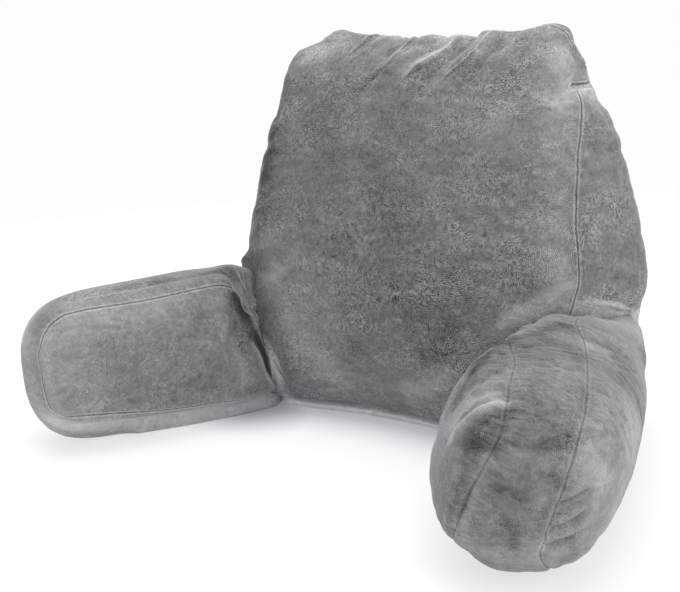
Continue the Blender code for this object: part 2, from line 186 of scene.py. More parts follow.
Light = namedtuple("Light", "name place size power")
LIGHTS = [
    Light("overhead", (0.0, 0.3, 2.6), 2.4, 60),
    Light("right_window", (2.6, -0.6, 1.2), 2.0, 38),
    Light("left_window", (-2.0, 0.6, 1.6), 1.6, 24),
]

# ---- where seams, pushes, creases and strokes run ----
# A place on a cushion is either two numbers, a point of the picture in pixels from its top left, found by looking
# from the camera, or three numbers in metres, brought to the nearest point of the surface.
# A seam's dark is how much its stitch line darkens, or, on a tuck or pleat, how much painted shade darkens its fold,
# and its gather how strongly the cloth is gathered into it.
# Where dark is below zero the line is the crest of a fold, with a painted highlight on it and painted shade on what is
# to its right.
Seam = namedtuple("Seam", "piece closed dark gather places")
BACK_FRONT_HALF = [      # the front panel's seam from the middle of its foot, up the right side, to its top
    (0.000, -0.063, 0.017), (0.060, -0.067, 0.017), (0.120, -0.078, 0.016), (0.180, -0.098, 0.015),
    (0.215, -0.095, 0.045), (0.232, -0.064, 0.115), (0.238, -0.038, 0.187), (0.236, -0.033, 0.265),
    (0.228, -0.008, 0.339), (0.219, 0.016, 0.397), (0.208, 0.031, 0.434), (0.194, 0.044, 0.455),
    (0.165, 0.052, 0.468), (0.110, 0.055, 0.466), (0.050, 0.055, 0.462), (0.000, 0.055, 0.458),
]
BACK_REAR_HALF = [
    (0.000, 0.107, 0.010), (0.110, 0.107, 0.010), (0.215, 0.107, 0.012), (0.250, 0.106, 0.030),
    (0.258, 0.104, 0.080), (0.260, 0.100, 0.180), (0.255, 0.094, 0.290), (0.236, 0.087, 0.370),
    (0.208, 0.081, 0.420), (0.172, 0.078, 0.446), (0.110, 0.077, 0.450), (0.000, 0.077, 0.446),
]


def mirrored(half):
    """A closed line of places from its right half, whose ends are on the middle plane."""
    left = [(-x, y, z) for x, y, z in reversed(half[1:-1])]
    return half + left


BACK_FRONT = mirrored(BACK_FRONT_HALF)
FOOT_ENDS = 3            # the last of the front seam's places on each side that is on its foot
SEAMS = [
    # the back's front seam, its foot fainter than the rest, and its rear seam
    Seam(BACK, False, 0.48, 0.15, BACK_FRONT[FOOT_ENDS:-FOOT_ENDS + 1]),
    Seam(BACK, False, 0.10, 0.10, BACK_FRONT[-FOOT_ENDS:] + BACK_FRONT[:FOOT_ENDS + 1]),
    Seam(BACK, True, 0.40, 0.25, mirrored(BACK_REAR_HALF)),
    # the left arm's inner and outer seams
    Seam(LEFT, False, 0.50, 0.10, [
        (233, 288), (219, 285), (200, 288), (150, 299), (100, 307), (65, 315), (48, 328),
        (40, 345), (38, 358), (41, 375), (45, 395), (54, 412), (100, 415), (160, 411), (230, 402), (254, 399),
    ]),
    Seam(LEFT, True, 0.35, 0.30, [
        (-0.212, 0.060, 0.008), (-0.220, -0.007, 0.008), (-0.245, -0.096, 0.009), (-0.283, -0.185, 0.011),
        (-0.324, -0.270, 0.015), (-0.350, -0.315, 0.027), (-0.366, -0.329, 0.063), (-0.375, -0.323, 0.111),
        (-0.371, -0.299, 0.148), (-0.341, -0.234, 0.162), (-0.303, -0.149, 0.166), (-0.266, -0.061, 0.163),
        (-0.240, -0.002, 0.156), (-0.221, 0.070, 0.147), (-0.213, 0.094, 0.115), (-0.211, 0.094, 0.040),
    ]),
    # the right arm's inner and outer seams
    Seam(RIGHT, False, 0.25, 0.9, [
        (506, 337), (511, 348), (515, 361), (512, 374), (509, 388), (507, 402), (501, 433), (486, 462),
        (470, 492), (461, 517), (457, 536), (0.300, -0.395, 0.036), (0.270, -0.338, 0.031), (0.240, -0.268, 0.027),
        (0.213, -0.199, 0.023), (0.190, -0.140, 0.020),
    ]),
    Seam(RIGHT, False, 0.30, 0.25, [
        (0.232, 0.092, 0.100), (0.240, 0.086, 0.150), (0.247, 0.050, 0.158), (0.253, 0.000, 0.163), (577, 319),
        (585, 343), (588, 366), (587, 399), (583, 424), (577, 446), (570, 469), (562, 494), (553, 517), (545, 540),
        (540, 555), (0.375, -0.350, 0.014), (0.331, -0.268, 0.011), (0.285, -0.173, 0.008), (0.245, -0.074, 0.006),
        (0.226, 0.025, 0.006),
    ]),
    # the sharpest folds under the back's top seam, with painted highlights on their crests
    Seam(BACK, False, -0.7, 0.0, [(400, 81), (418, 66), (440, 53), (460, 41), (480, 34)]),
    Seam(BACK, False, -0.6, 0.0, [(440, 81), (460, 64), (480, 48), (500, 36)]),
    Seam(BACK, False, -0.8, 0.0, [(381, 70), (391, 60), (404, 51), (420, 44), (436, 41)]),
    Seam(BACK, False, -0.6, 0.0, [(344, 60), (358, 50), (376, 42), (392, 37)]),
    # the tuck on the right shoulder: painted shade in its fold, and a painted highlight on the crest below it
    Seam(BACK, False, 0.6, 0.0, [(573, 85), (581, 84), (590, 82)]),
    Seam(BACK, False, -0.5, 0.0, [(566, 91), (576, 90), (590, 89)]),
    # pleats where the left arm is sewn to the back: painted highlights on their crests, and painted shade in a fold
    # between them
    Seam(LEFT, False, -0.8, 0.0, [(231, 270), (238, 281), (246, 294), (253, 308), (259, 324)]),
    Seam(LEFT, False, -0.8, 0.0, [(237, 293), (250, 315), (262, 339)]),
    Seam(BACK, False, -1.2, 0.0, [(263, 334), (267, 345), (271, 357), (273, 374), (274, 393)]),
    Seam(BACK, False, 0.35, 0.0, [(272, 354), (279, 370), (290, 390)]),
]

# A push moves the filling by a vector, fading with the distance from a line.
Push = namedtuple("Push", "piece reach vector places")
PUSHES = [
    # the strip round the foot swells forward under the front panel
    Push(BACK, 0.015, (0.0, -0.018, 0.0), [
        (-0.170, -0.062, 0.000), (-0.120, -0.050, 0.000), (-0.060, -0.041, 0.000), (0.000, -0.038, 0.000),
        (0.060, -0.041, 0.000), (0.120, -0.050, 0.000), (0.170, -0.062, 0.000)]),
    # ... and the seam above it is drawn in
    Push(BACK, 0.008, (0.0, 0.010, 0.004), [
        (-0.150, -0.092, 0.015), (-0.120, -0.085, 0.015), (-0.060, -0.075, 0.015), (0.000, -0.073, 0.015),
        (0.060, -0.076, 0.015), (0.120, -0.085, 0.015), (0.150, -0.092, 0.015)]),
    # the boxing strip shows beside the front panel above the left arm
    Push(BACK, 0.013, (-0.013, -0.010, -0.002), [(-0.232, -0.050, 0.182), (-0.226, -0.060, 0.166)]),
    # the right arm's root is drawn in towards its seam with the back
    Push(RIGHT, 0.034, (0.012, 0.009, -0.009), [(500, 326), (478, 342), (458, 364), (446, 388), (438, 412)]),
    Push(RIGHT, 0.022, (0.011, 0.009, -0.003), [(449, 392), (441, 408), (436, 424)]),
    # the strip behind the right shoulder is drawn in
    Push(BACK, 0.024, (-0.012, 0.0, -0.002), [(0.212, 0.066, 0.460), (0.232, 0.062, 0.432), (0.240, 0.060, 0.400)]),
    # the strip under the left arm swells out over the floor
    Push(LEFT, 0.016, (0.012, -0.006, 0.0), [(-0.245, -0.262, 0.004), (-0.216, -0.186, 0.003),
                                             (-0.192, -0.118, 0.002), (-0.186, -0.084, 0.000)]),
]

# A crease: its half width, how deep it is pressed (below zero it is a ridge or a swelling), and to which side of its
# run it is steep: 1 is the right, -1 the left, and 0 neither.
Crease = namedtuple("Crease", "piece width depth steep places")
CREASES = [
    # swellings of the filling
    Crease(BACK, 0.035, -0.009, 0, [(0.04, 0.045, 0.463), (0.10, 0.045, 0.468), (0.15, 0.045, 0.470),
                                    (0.20, 0.045, 0.460)]),
    Crease(BACK, 0.030, -0.0085, 0, [(-0.20, 0.050, 0.452), (-0.17, 0.050, 0.460), (-0.10, 0.050, 0.462),
                                     (-0.04, 0.050, 0.460), (0.05, 0.050, 0.458)]),
    Crease(BACK, 0.014, -0.0045, 0, [(446, 46), (456, 41), (468, 38), (478, 37)]),
    Crease(BACK, 0.020, 0.008, 0, [(0.205, 0.055, 0.465), (0.222, 0.045, 0.440), (0.228, 0.040, 0.405)]),
    Crease(BACK, 0.050, -0.011, 0, [(0.235, 0.070, 0.420), (0.262, 0.075, 0.320), (0.270, 0.080, 0.240),
                                    (0.272, 0.080, 0.150), (0.272, 0.080, 0.100)]),
    Crease(LEFT, 0.030, -0.005, 0, [(-0.240, 0.020, 0.160), (-0.232, -0.040, 0.168), (-0.222, -0.090, 0.180),
                                    (-0.215, -0.140, 0.185)]),
    Crease(LEFT, 0.030, -0.004, 0, [(75, 300), (45, 312), (30, 335)]),
    Crease(RIGHT, 0.030, -0.006, 0, [(630, 318), (642, 335), (646, 365)]),
    # the arm's seams run out smoothly where it rests on the floor
    Crease(RIGHT, 0.014, -0.0055, 0, [(468, 500), (459, 525), (455, 540), (0.290, -0.380, 0.034),
                                      (0.270, -0.338, 0.031)]),
    Crease(RIGHT, 0.014, -0.0045, 0, [(550, 525), (540, 555), (0.375, -0.350, 0.014), (0.331, -0.268, 0.011)]),
    # the gathers under the back's top seam
    Crease(BACK, 0.004, -0.0020, 1, [(334, 62), (346, 56), (364, 46), (388, 37)]),
    Crease(BACK, 0.003, -0.0020, 1, [(345, 66), (360, 56), (380, 46), (400, 40), (416, 38)]),
    Crease(BACK, 0.003, -0.0018, 1, [(362, 66), (378, 55), (398, 46), (424, 40)]),
    Crease(BACK, 0.004, -0.0026, 1, [(380, 72), (390, 63), (404, 54), (430, 45), (450, 41)]),
    Crease(BACK, 0.006, 0.0012, 0, [(352, 98), (364, 86), (376, 75), (388, 66)]),
    Crease(BACK, 0.005, -0.0036, 1, [(396, 84), (410, 73), (432, 60), (452, 47), (466, 39)]),
    Crease(BACK, 0.005, 0.0020, 0, [(416, 86), (436, 70), (456, 55), (474, 40)]),
    Crease(BACK, 0.005, -0.0040, 1, [(440, 80), (452, 69), (466, 56), (488, 40), (504, 30)]),
    Crease(BACK, 0.005, 0.0022, 0, [(466, 78), (480, 66), (496, 52), (512, 38)]),
    # the tuck on the right shoulder and the bumps beside it
    Crease(BACK, 0.003, 0.0038, 0, [(568, 87), (577, 85), (588, 83), (600, 83)]),
    Crease(BACK, 0.008, -0.0040, 0, [(572, 94), (584, 92), (598, 91)]),
    Crease(BACK, 0.004, 0.0025, 0, [(578, 68), (588, 66), (596, 66)]),
    Crease(BACK, 0.003, -0.0015, 1, [(520, 111), (540, 107), (562, 108)]),
    Crease(BACK, 0.003, -0.0015, 1, [(532, 102), (550, 98), (566, 99)]),
    # the right side above the arm
    Crease(BACK, 0.006, -0.0050, -1, [(586, 301), (602, 302), (620, 305), (638, 312)]),
    # where the left arm is sewn to the back
    Crease(LEFT, 0.003, -0.0030, 0, [(228, 268), (238, 284), (246, 302), (256, 321), (265, 339), (271, 358),
                                     (275, 392)]),
    Crease(LEFT, 0.003, 0.0035, 0, [(238, 270), (247, 290), (257, 312), (264, 328)]),
    Crease(LEFT, 0.003, -0.0030, 0, [(236, 262), (247, 280), (256, 302), (263, 318)]),
    Crease(LEFT, 0.004, -0.0040, 0, [(252, 343), (260, 360), (266, 376), (271, 392)]),
    Crease(BACK, 0.003, 0.0030, 0, [(268, 335), (274, 352), (282, 372), (292, 394)]),
    Crease(BACK, 0.005, -0.0030, 0, [(270, 340), (275, 362), (283, 390)]),
    # folds on the right arm's outer panel
    Crease(RIGHT, 0.006, 0.0060, -1, [(554, 506), (566, 503), (580, 496), (596, 486)]),
    Crease(RIGHT, 0.005, 0.0045, -1, [(549, 519), (566, 511), (580, 504), (594, 495)]),
    Crease(RIGHT, 0.006, 0.0060, -1, [(545, 530), (564, 526), (580, 517), (594, 505)]),
    Crease(RIGHT, 0.006, 0.0060, -1, [(538, 546), (560, 542), (576, 536), (592, 526)]),
    # fine creases that meet in a point on its outer seam
    Crease(RIGHT, 0.002, -0.0015, 0, [(558, 450), (565, 460), (572, 472)]),
    Crease(RIGHT, 0.002, -0.0015, 0, [(552, 466), (562, 468), (572, 472)]),
    Crease(RIGHT, 0.002, -0.0015, 0, [(572, 470), (568, 480), (563, 490)]),
    Crease(RIGHT, 0.002, -0.0015, 0, [(571, 470), (575, 479), (579, 488)]),
    # folds on its inner panel, from the tuck in the seam
    Crease(RIGHT, 0.003, -0.0025, 1, [(515, 360), (500, 363), (484, 372), (470, 388)]),
    Crease(RIGHT, 0.003, 0.0020, 0, [(508, 368), (492, 374), (476, 388), (462, 408)]),
    Crease(RIGHT, 0.003, -0.0020, 1, [(508, 345), (494, 350), (482, 360), (472, 372)]),
    Crease(RIGHT, 0.006, -0.0030, 1, [(506, 402), (490, 405), (474, 413), (462, 424), (450, 438)]),
    Crease(RIGHT, 0.004, -0.0015, 1, [(508, 390), (490, 395), (470, 408), (455, 424)]),
]

# A stroke painted into the plush's tone, either brushed nap or painted light and shade: how far it reaches, how much
# lighter it is, or darker below zero, and on which side of its run it ends sharply, given as a crease's steep side.
Stroke = namedtuple("Stroke", "piece reach tone lean places")
STROKES = [
    # painted shade along the front panel's left edge, and painted light on its upper corner
    Stroke(BACK, 0.034, -0.50, 0, [(288, 78), (278, 112), (270, 146), (262, 182), (256, 215)]),
    Stroke(BACK, 0.016, -0.26, 0, [(282, 92), (276, 116), (269, 150), (262, 182)]),
    Stroke(BACK, 0.018, 0.60, 0, [(296, 70), (312, 54), (340, 44)]),
    # shade and light among the gathers under the top seam
    Stroke(BACK, 0.012, -0.25, 0, [(421, 76), (412, 88)]),
    Stroke(BACK, 0.012, -0.28, 0, [(474, 66), (463, 84)]),
    Stroke(BACK, 0.014, -0.35, 0, [(486, 110), (505, 94), (528, 90)]),
    Stroke(BACK, 0.010, 0.55, 0, [(380, 56), (394, 48), (412, 43)]),
    Stroke(BACK, 0.014, 0.70, 0, [(412, 66), (436, 54), (462, 42)]),
    Stroke(BACK, 0.012, 0.55, 0, [(480, 52), (488, 40), (496, 32)]),
    # painted light on the right shoulder, and a painted highlight below the tuck in it
    Stroke(BACK, 0.020, 0.30, 0, [(548, 36), (560, 52), (564, 74)]),
    Stroke(BACK, 0.012, 0.60, 0, [(568, 94), (590, 95)]),
    # brushed patches of the front panel, and painted light on the flank above the right arm
    Stroke(BACK, 0.034, -0.16, 0, [(315, 262), (345, 255), (375, 285)]),
    Stroke(BACK, 0.020, 0.60, 0, [(595, 312), (640, 320)]),
    Stroke(BACK, 0.025, 0.20, 0, [(350, 140), (356, 200)]),
    Stroke(BACK, 0.030, 0.48, 0, [(268, 250), (280, 300), (300, 340), (330, 370)]),
    Stroke(BACK, 0.030, 0.30, 0, [(295, 260), (310, 290), (325, 320)]),
    Stroke(BACK, 0.030, 0.15, 0, [(330, 380), (380, 380), (430, 365)]),
    Stroke(BACK, 0.018, 0.60, 0, [(408, 392), (428, 388), (446, 376)]),
    Stroke(BACK, 0.050, -0.20, 0, [(330, 120), (360, 180), (400, 250), (430, 330), (460, 290)]),
    Stroke(BACK, 0.030, 0.35, 0, [(560, 120), (560, 200), (555, 290)]),
    Stroke(BACK, 0.020, 0.75, -1, [(505, 318), (530, 305), (565, 285)]),
    # more painted light and shade: on the shoulder, the panel below it, the gathers, the flank and the top edge
    Stroke(BACK, 0.025, 0.60, 0, [(560, 60), (572, 75), (590, 90)]),
    Stroke(BACK, 0.020, 0.50, 0, [(500, 105), (530, 90), (555, 100)]),
    Stroke(BACK, 0.030, 0.28, 0, [(470, 112), (500, 130), (540, 135)]),
    Stroke(BACK, 0.012, 0.50, 0, [(400, 55), (430, 48), (450, 42)]),
    Stroke(BACK, 0.014, -0.28, 0, [(364, 88), (374, 78), (386, 66)]),
    Stroke(BACK, 0.016, 0.90, -1, [(586, 302), (610, 305), (638, 312)]),
    Stroke(BACK, 0.012, 0.50, 0, [(376, 46), (400, 43), (440, 42), (476, 36)]),
    # painted light on the strip round the foot, for the floor's light that it catches
    Stroke(BACK, 0.012, 3.70, 0, [(-0.160, -0.078, 0.007), (-0.120, -0.062, 0.007), (-0.060, -0.057, 0.007),
                                  (0.000, -0.056, 0.007), (0.060, -0.059, 0.007), (0.120, -0.068, 0.007)]),
    # painted light and shade beside both arms' roots and the right seam
    Stroke(BACK, 0.013, 1.05, 0, [(272, 358), (277, 374), (283, 392)]),
    Stroke(BACK, 0.010, -0.20, 0, [(244, 256), (249, 266), (256, 280)]),
    Stroke(BACK, 0.022, -0.25, 0, [(450, 335), (440, 350), (428, 362)]),
    Stroke(BACK, 0.016, -0.25, 0, [(574, 180), (576, 220), (577, 270)]),
    # the left arm: painted shade in the valley at its root, and a painted highlight on the pleat there
    Stroke(LEFT, 0.018, -0.80, -1, [(239, 300), (249, 320), (258, 338), (264, 350)]),
    Stroke(LEFT, 0.008, -0.95, -1, [(258, 338), (265, 354), (270, 372), (273, 390)]),
    Stroke(LEFT, 0.004, 0.50, 0, [(252, 343), (260, 360), (266, 376), (271, 392)]),
    # ... painted shade and light on its top and the inner panel
    Stroke(LEFT, 0.012, -0.25, 0, [(120, 288), (150, 284), (190, 278)]),
    Stroke(LEFT, 0.014, -0.50, 0, [(204, 275), (216, 273), (228, 273)]),
    Stroke(LEFT, 0.022, -0.35, 0, [(234, 300), (236, 322), (244, 348)]),
    Stroke(LEFT, 0.018, -0.30, 0, [(158, 285), (180, 296), (196, 314)]),
    Stroke(LEFT, 0.010, 0.30, 0, [(236, 352), (242, 366), (246, 380)]),
    # ... painted light on the strip and the panel round its end, and on the strip along its underside, which faces the
    # floor
    Stroke(LEFT, 0.012, 0.50, 0, [(46, 335), (46, 370), (52, 400)]),
    Stroke(LEFT, 0.040, 0.45, 0, [(66, 326), (70, 366), (84, 402)]),
    Stroke(LEFT, 0.024, 0.45, 0, [(70, 318), (110, 316), (150, 308), (180, 300)]),
    Stroke(LEFT, 0.024, 1.30, 0, [(60, 424), (80, 426), (100, 424), (150, 420), (200, 413), (250, 405), (274, 402)]),
    Stroke(LEFT, 0.034, 0.95, 0, [(30, 322), (28, 358), (32, 392), (44, 418)]),
    # the right arm: painted shade at its root, where it is drawn in, and a light band of nap below it
    Stroke(RIGHT, 0.020, -0.55, 0, [(566, 326), (540, 332), (512, 342)]),
    Stroke(RIGHT, 0.016, -0.55, 0, [(504, 341), (488, 353), (473, 370), (462, 386), (454, 402)]),
    Stroke(RIGHT, 0.018, -0.35, 0, [(552, 340), (568, 344), (580, 356)]),
    Stroke(RIGHT, 0.014, 0.60, 0, [(488, 397), (472, 404), (461, 414), (452, 427)]),
    # ... painted light and shade on its rounded end and its outer panel
    Stroke(RIGHT, 0.014, 0.35, 0, [(589, 346), (602, 350)]),
    Stroke(RIGHT, 0.014, 0.35, 0, [(575, 458), (595, 470), (612, 480)]),
    Stroke(RIGHT, 0.012, 0.35, 0, [(540, 500), (534, 520), (528, 545)]),
    Stroke(RIGHT, 0.030, -0.30, 0, [(545, 350), (540, 375), (535, 400)]),
    Stroke(RIGHT, 0.009, 0.85, 1, [(503, 402), (486, 406), (472, 414), (461, 425), (449, 440)]),
    Stroke(RIGHT, 0.016, -0.45, 0, [(500, 413), (485, 423), (475, 436)]),
    Stroke(RIGHT, 0.040, 0.55, 0, [(636, 420), (632, 446), (624, 484), (608, 522)]),
    Stroke(RIGHT, 0.024, 0.30, 0, [(580, 530), (596, 510), (606, 480)]),
    Stroke(RIGHT, 0.009, -0.40, 0, [(557, 486), (551, 508), (544, 532)]),
    Stroke(RIGHT, 0.016, -0.35, 0, [(584, 385), (580, 420), (570, 448)]),
    Stroke(RIGHT, 0.026, 0.60, 0, [(590, 316), (610, 322), (636, 332)]),
    Stroke(RIGHT, 0.020, -0.30, 0, [(520, 350), (495, 372), (480, 378)]),
    # ... brushed patches with a sharp upper edge
    Stroke(RIGHT, 0.018, -0.30, -1, [(492, 451), (480, 453), (466, 450)]),
    Stroke(RIGHT, 0.018, -0.35, -1, [(572, 446), (545, 448), (520, 447)]),
    # ... painted light along its seams, and painted light and shade on the small folds under them
    Stroke(RIGHT, 0.006, 0.35, 0, [(558, 495), (550, 518), (542, 545)]),
    Stroke(RIGHT, 0.022, 0.40, 0, [(590, 430), (592, 465), (590, 500)]),
    Stroke(RIGHT, 0.007, 0.45, 0, [(490, 457), (478, 485), (470, 508), (463, 535)]),
    Stroke(RIGHT, 0.004, -0.50, 1, [(472, 482), (465, 498), (459, 514)]),
    Stroke(RIGHT, 0.006, -0.20, 0, [(466, 470), (456, 492), (450, 510)]),
    Stroke(RIGHT, 0.012, 0.25, 0, [(458, 462), (452, 490), (452, 520)]),
    Stroke(RIGHT, 0.018, 0.50, 0, [(466, 544), (490, 555), (520, 562), (550, 558)]),
    Stroke(RIGHT, 0.006, -0.20, 1, [(540, 476), (552, 478), (566, 488)]),
    Stroke(RIGHT, 0.006, -0.35, 1, [(498, 492), (508, 492), (516, 499)]),
    Stroke(RIGHT, 0.010, 0.20, 0, [(520, 455), (530, 466), (545, 462)]),
    Stroke(RIGHT, 0.008, -0.35, 0, [(505, 520), (512, 530), (516, 545)]),
    Stroke(RIGHT, 0.012, -0.30, 0, [(528, 500), (534, 515), (530, 530)]),
    Stroke(RIGHT, 0.026, -0.25, 0, [(615, 350), (625, 380), (622, 410)]),
]


def camera_axes():
    """The camera's right, up and backward directions and its place."""
    back = Vector((sin(CAMERA_AZIMUTH) * cos(CAMERA_ELEVATION), -cos(CAMERA_AZIMUTH) * cos(CAMERA_ELEVATION),
                   sin(CAMERA_ELEVATION)))
    level = Vector((cos(CAMERA_AZIMUTH), sin(CAMERA_AZIMUTH), 0.0))
    plumb = back.cross(level)
    right = level * cos(CAMERA_ROLL) + plumb * sin(CAMERA_ROLL)
    up = plumb * cos(CAMERA_ROLL) - level * sin(CAMERA_ROLL)
    return right, up, back, CAMERA_TARGET + back * CAMERA_DISTANCE


def sight_line(u, v):
    """Where the camera stands, and the direction in which it sees a point of the picture."""
    across = (u - PICTURE_WIDTH / 2) / FOCAL_PIXELS
    down = (v - PICTURE_HEIGHT / 2) / FOCAL_PIXELS
    right, up, back, place = camera_axes()
    return place, (right * across - up * down - back).normalized()


def add_camera():
    right, up, back, place = camera_axes()
    camera = bpy.data.objects.new("camera", bpy.data.cameras.new("camera"))
    camera.data.sensor_width = SENSOR_WIDTH
    camera.data.lens = FOCAL_PIXELS * SENSOR_WIDTH / PICTURE_WIDTH
    camera.matrix_world = Matrix.Translation(place) @ Matrix((right, up, back)).transposed().to_4x4()
    bpy.context.scene.collection.objects.link(camera)
    bpy.context.scene.camera = camera


def points_of(mesh):
    flat = np.empty(len(mesh.vertices) * 3)
    mesh.vertices.foreach_get("co", flat)
    return flat.reshape(-1, 3)


def set_points(mesh, points):
    mesh.vertices.foreach_set("co", points.ravel())
    mesh.update()


def normals_of(mesh):
    flat = np.empty(len(mesh.vertices) * 3)
    mesh.vertex_normals.foreach_get("vector", flat)
    return flat.reshape(-1, 3)


def edges_of(mesh):
    flat = np.empty(len(mesh.edges) * 2, dtype=int)
    mesh.edges.foreach_get("vertices", flat)
    return flat.reshape(-1, 2)


def tree_of(mesh):
    return BVHTree.FromPolygons([vert.co for vert in mesh.vertices], [face.vertices for face in mesh.polygons])


def own(table, name):
    """The rows of a table that are about one piece."""
    return [row for row in table if row.piece == name]


def put(tree, place):
    """The point of a surface that a place stands for."""
    if len(place) == 3:
        return tree.find_nearest(Vector(place))[0]
    eye, direction = sight_line(*place)
    hit = tree.ray_cast(eye, direction)[0]
    if hit is not None:
        return hit
    spots = [tree.find_nearest(eye + direction * distance) for distance in SEARCHED]
    return min(spots, key=lambda spot: spot[3])[0]


def laid_line(tree, places, closed=False):
    """A smooth line over a surface through places, its points LINE_STEP apart."""
    knots = np.array([put(tree, place) for place in places])
    if closed:
        knots = np.vstack([knots[-1:], knots, knots[:2]])
    else:
        knots = np.vstack([2 * knots[:1] - knots[1:2], knots, 2 * knots[-1:] - knots[-2:-1]])
    rough = []
    for before, start, end, after in zip(knots, knots[1:], knots[2:], knots[3:]):
        t = np.linspace(0, 1, CURVE_STEPS, endpoint=False)[:, None]
        rough.append(0.5 * (2 * start + (end - before) * t + (2 * before - 5 * start + 4 * end - after) * t ** 2
                            + (3 * start - before - 3 * end + after) * t ** 3))
    rough = np.vstack(rough + [knots[-2:-1]])
    run = np.concatenate([[0.0], np.cumsum(np.linalg.norm(np.diff(rough, axis=0), axis=1))])
    at = np.linspace(0, run[-1], max(3, round(run[-1] / LINE_STEP)))
    even = np.stack([np.interp(at, run, rough[:, axis]) for axis in range(3)], axis=1)
    return np.array([tree.find_nearest(Vector(point))[0] for point in even])


def found_near(points, line, reach):
    """The points of a mesh in the box round a line, which of the line's points is nearest to each, and how near."""
    low, high = line.min(axis=0) - reach, line.max(axis=0) + reach
    near = np.nonzero(np.all((points > low) & (points < high), axis=1))[0]
    tree = KDTree(len(line))
    for i, point in enumerate(line):
        tree.insert(point, i)
    tree.balance()
    found = np.array([tree.find(point)[1:] for point in points[near]])
    return near, found[:, 0].astype(int), found[:, 1]


def measured(points, normals, line, reach):
    """Where a mesh lies beside a line: the points within reach of it, how far each is to the line's right as seen
    from outside, and how far along the line each is, in metres."""
    near, index, away = found_near(points, line, reach)
    near, index = near[away < reach], index[away < reach]
    tangent = np.gradient(line, axis=0)
    tangent /= np.linalg.norm(tangent, axis=1)[:, None]
    along = tangent[index]
    offset = points[near] - line[index]
    slip = np.sum(offset * along, axis=1)
    side = np.cross(along, normals[near])
    side /= np.linalg.norm(side, axis=1)[:, None] + TINY
    aside = np.linalg.norm(offset, axis=1) * np.sign(np.sum(offset * side, axis=1))
    return near, aside, index * LINE_STEP + slip


def length_of(line):
    return LINE_STEP * (len(line) - 1)


def from_ends(along, line):
    """How far each place along a line is from the nearer end of it."""
    return np.minimum(along, length_of(line) - along)


def bell(away):
    """1 in the middle, falling off with the distance in half widths."""
    return np.exp(-FALL * away ** 2)


def evened(values, edges, rounds):
    """Values given to the points of a mesh, averaged with their neighbours' this many times."""
    count = np.bincount(edges.ravel(), minlength=len(values))[:, None]
    for _ in range(rounds):
        total = np.stack([np.bincount(edges[:, 0], values[edges[:, 1], axis], len(values))
                          + np.bincount(edges[:, 1], values[edges[:, 0], axis], len(values))
                          for axis in range(3)], axis=1)
        values = 0.5 * values + 0.5 * total / count
    return values


def apply_modifier(piece, kind, **settings):
    modifier = piece.modifiers.new(kind.lower(), kind)
    for name, value in settings.items():
        setattr(modifier, name, value)
    bpy.context.view_layer.objects.active = piece
    bpy.ops.object.modifier_apply(modifier=modifier.name)


def filled_form(name, cushion):
    """The CAD node's form as an even mesh, swollen by its filling."""
    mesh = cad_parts[cushion.node].data.copy()
    mesh.materials.clear()
    mesh.name = name
    piece = bpy.data.objects.new(name, mesh)
    bpy.context.scene.collection.objects.link(piece)
    welded = bmesh.new()
    welded.from_mesh(mesh)
    bmesh.ops.remove_doubles(welded, verts=welded.verts, dist=WELD)
    welded.to_mesh(mesh)
    welded.free()
    apply_modifier(piece, "REMESH", mode="VOXEL", voxel_size=cushion.voxel)
    rough = points_of(piece.data)
    edges = edges_of(piece.data)
    soft = evened(rough, edges, cushion.soften)
    for _ in range(FORM_RETURNS):
        soft += evened(rough - soft, edges, FORM_ROUNDS)
    set_points(piece.data, soft)
    set_points(piece.data, soft + normals_of(piece.data) * cushion.plump)
    fill_with_cloth(piece, name, cushion)
    apply_modifier(piece, "SUBSURF", levels=1, render_levels=1)
    return piece


def fill_with_cloth(piece, name, cushion):
    """Blows the form up like a filled cover whose seams are tighter than its panels, and keeps the wrinkles."""
    start = points_of(piece.data)
    normals = normals_of(piece.data)
    tree = tree_of(piece.data)
    sewn = np.zeros(len(start))
    for seam in own(SEAMS, name):
        near, aside, _ = measured(start, normals, laid_line(tree, seam.places, seam.closed), SEAM_REACH)
        sewn[near] = np.maximum(sewn[near], 1 - np.abs(aside) / SEAM_REACH)
    set_points(piece.data, start - normals * SLIMMED)
    stitches = piece.vertex_groups.new(name="sewn")
    held = piece.vertex_groups.new(name="held")
    for i in range(len(start)):
        stitches.add([i], float(sewn[i]), "REPLACE")
        if start[i, 2] < HELD_HEIGHT:
            held.add([i], 1.0, "REPLACE")
    modifier = piece.modifiers.new("cloth", "CLOTH")
    cloth = modifier.settings
    for setting, value in CLOTH.items():
        setattr(cloth, setting, value)
    cloth.vertex_group_shrink = stitches.name
    cloth.shrink_min = PANEL_SHRINK
    cloth.shrink_max = cushion.gather
    cloth.vertex_group_mass = held.name
    cloth.effector_weights.gravity = 0
    modifier.collision_settings.use_collision = False
    modifier.point_cache.frame_start = 1
    modifier.point_cache.frame_end = CLOTH_FRAMES
    for number in range(1, CLOTH_FRAMES + 1):
        bpy.context.scene.frame_set(number)
    bpy.context.view_layer.objects.active = piece
    bpy.ops.object.modifier_apply(modifier=modifier.name)
    bpy.context.scene.frame_set(1)
    piece.vertex_groups.clear()
    moved = points_of(piece.data) - start
    moved -= evened(moved, edges_of(piece.data), WRINKLE_ROUNDS)
    length = np.linalg.norm(moved, axis=1)
    moved *= np.minimum(1, cushion.cap / np.maximum(length, TINY))[:, None]
    set_points(piece.data, start + moved)


def set_above_floor(mesh, points):
    points[:, 2] = np.maximum(points[:, 2], 0.0)
    set_points(mesh, points)


def pushed(points, tree, name):
    """The points of a cushion after its pushes."""
    for push in own(PUSHES, name):
        near, _, away = found_near(points, laid_line(tree, push.places), PUSH_REACH * push.reach)
        points[near] += bell(away / push.reach)[:, None] * np.array(push.vector)
    return points


